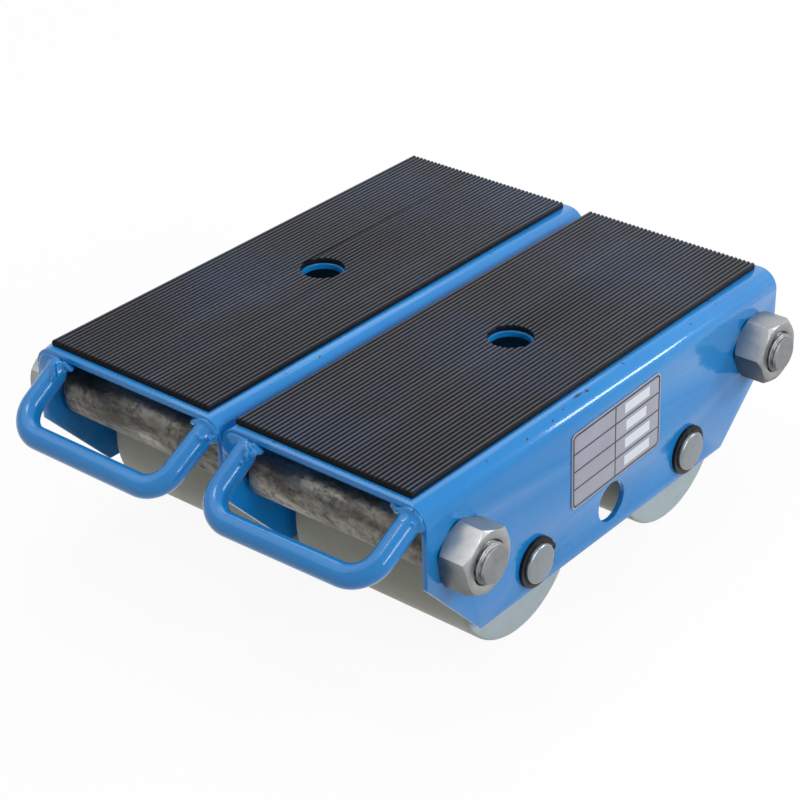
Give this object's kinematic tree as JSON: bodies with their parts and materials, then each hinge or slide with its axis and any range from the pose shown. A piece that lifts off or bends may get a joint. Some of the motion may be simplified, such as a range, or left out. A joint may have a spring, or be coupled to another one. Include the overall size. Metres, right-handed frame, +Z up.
{
  "type": "machine skate",
  "caption": "Low machine skate for heavy loads: folded steel channel frames bolted side by side, ribbed rubber tops, wide nylon rollers on cross axles and bent bar handles.",
  "frame": {"origin": "on the floor, under the centre of the whole skate's bounding box", "axes": "+Z up, +Y the way the skate rolls, away from the handles, +X along the axles to the side with the rating plate"},
  "size_m": [0.2764, 0.3144, 0.112],
  "materials": {
    "blue_paint": "glossy blue enamel",
    "ribbed_rubber": "satin black ribbed rubber",
    "plate_foil": "satin printed foil with blank fields",
    "bright_steel": "turned steel",
    "zinc_steel": "zinc plated",
    "galvanised_steel": "mottled galvanised",
    "black_steel": "black oxide",
    "bearing_steel": "ground and polished",
    "seal_rubber": "moulded",
    "nylon": "cream cast nylon, faintly translucent"
  },
  "bodies": {
    "chassis": {"frame_left": "blue_paint", "pad_left": "ribbed_rubber", "handle_left": "blue_paint", "weld_left": "blue_paint", "frame_right": "blue_paint", "pad_right": "ribbed_rubber", "handle_right": "blue_paint", "weld_right": "blue_paint", "rating_plate": "plate_foil", "axle_front": "bright_steel", "rod_front": "zinc_steel", "axle_rear": "bright_steel", "rod_rear": "zinc_steel", "clip_front_left": "black_steel", "nut_front_left": "zinc_steel", "pipe_front_left": "galvanised_steel", "inner_rings_front_left": "bearing_steel", "sleeve_front_left": "bright_steel", "washers_front_left": "zinc_steel", "clip_front_right": "black_steel", "nut_front_right": "zinc_steel", "pipe_front_right": "galvanised_steel", "inner_rings_front_right": "bearing_steel", "sleeve_front_right": "bright_steel", "washers_front_right": "zinc_steel", "clip_rear_left": "black_steel", "nut_rear_left": "zinc_steel", "pipe_rear_left": "galvanised_steel", "inner_rings_rear_left": "bearing_steel", "sleeve_rear_left": "bright_steel", "washers_rear_left": "zinc_steel", "clip_rear_right": "black_steel", "nut_rear_right": "zinc_steel", "pipe_rear_right": "galvanised_steel", "inner_rings_rear_right": "bearing_steel", "sleeve_rear_right": "bright_steel", "washers_rear_right": "zinc_steel"},
    "roller_front_left": {"roller_front_left": "nylon", "outer_rings_front_left": "bearing_steel", "seals_front_left": "seal_rubber"},
    "roller_front_right": {"roller_front_right": "nylon", "outer_rings_front_right": "bearing_steel", "seals_front_right": "seal_rubber"},
    "roller_rear_left": {"roller_rear_left": "nylon", "outer_rings_rear_left": "bearing_steel", "seals_rear_left": "seal_rubber"},
    "roller_rear_right": {"roller_rear_right": "nylon", "outer_rings_rear_right": "bearing_steel", "seals_rear_right": "seal_rubber"},
    "ball_set_front_left": {"balls_front_left": "bearing_steel", "cages_front_left": "bright_steel"},
    "ball_set_front_right": {"balls_front_right": "bearing_steel", "cages_front_right": "bright_steel"},
    "ball_set_rear_left": {"balls_rear_left": "bearing_steel", "cages_rear_left": "bright_steel"},
    "ball_set_rear_right": {"balls_rear_right": "bearing_steel", "cages_rear_right": "bright_steel"}
  },
  "joints": [
    {"name": "roller_front_left_spin", "type": "hinge", "parent": "chassis", "child": "roller_front_left", "pos_m": [-0.06075, -0.0457, 0.0425], "axis": [1, 0, 0], "continuous": true},
    {"name": "roller_front_right_spin", "type": "hinge", "parent": "chassis", "child": "roller_front_right", "pos_m": [0.0593, -0.0457, 0.0425], "axis": [1, 0, 0], "continuous": true},
    {"name": "roller_rear_left_spin", "type": "hinge", "parent": "chassis", "child": "roller_rear_left", "pos_m": [-0.06075, 0.0791, 0.0425], "axis": [1, 0, 0], "continuous": true},
    {"name": "roller_rear_right_spin", "type": "hinge", "parent": "chassis", "child": "roller_rear_right", "pos_m": [0.0593, 0.0791, 0.0425], "axis": [1, 0, 0], "continuous": true},
    {"name": "ball_set_front_left_spin", "type": "hinge", "parent": "chassis", "child": "ball_set_front_left", "pos_m": [-0.06075, -0.0457, 0.0425], "axis": [1, 0, 0], "continuous": true},
    {"name": "ball_set_front_right_spin", "type": "hinge", "parent": "chassis", "child": "ball_set_front_right", "pos_m": [0.0593, -0.0457, 0.0425], "axis": [1, 0, 0], "continuous": true},
    {"name": "ball_set_rear_left_spin", "type": "hinge", "parent": "chassis", "child": "ball_set_rear_left", "pos_m": [-0.06075, 0.0791, 0.0425], "axis": [1, 0, 0], "continuous": true},
    {"name": "ball_set_rear_right_spin", "type": "hinge", "parent": "chassis", "child": "ball_set_rear_right", "pos_m": [0.0593, 0.0791, 0.0425], "axis": [1, 0, 0], "continuous": true}
  ],
  "couplings": [
    {"joint": "ball_set_front_left_spin", "follows": "roller_front_left_spin", "ratio": 0.6178},
    {"joint": "ball_set_front_right_spin", "follows": "roller_front_right_spin", "ratio": 0.6178},
    {"joint": "ball_set_rear_left_spin", "follows": "roller_rear_left_spin", "ratio": 0.6178},
    {"joint": "ball_set_rear_right_spin", "follows": "roller_rear_right_spin", "ratio": 0.6178}
  ]
}
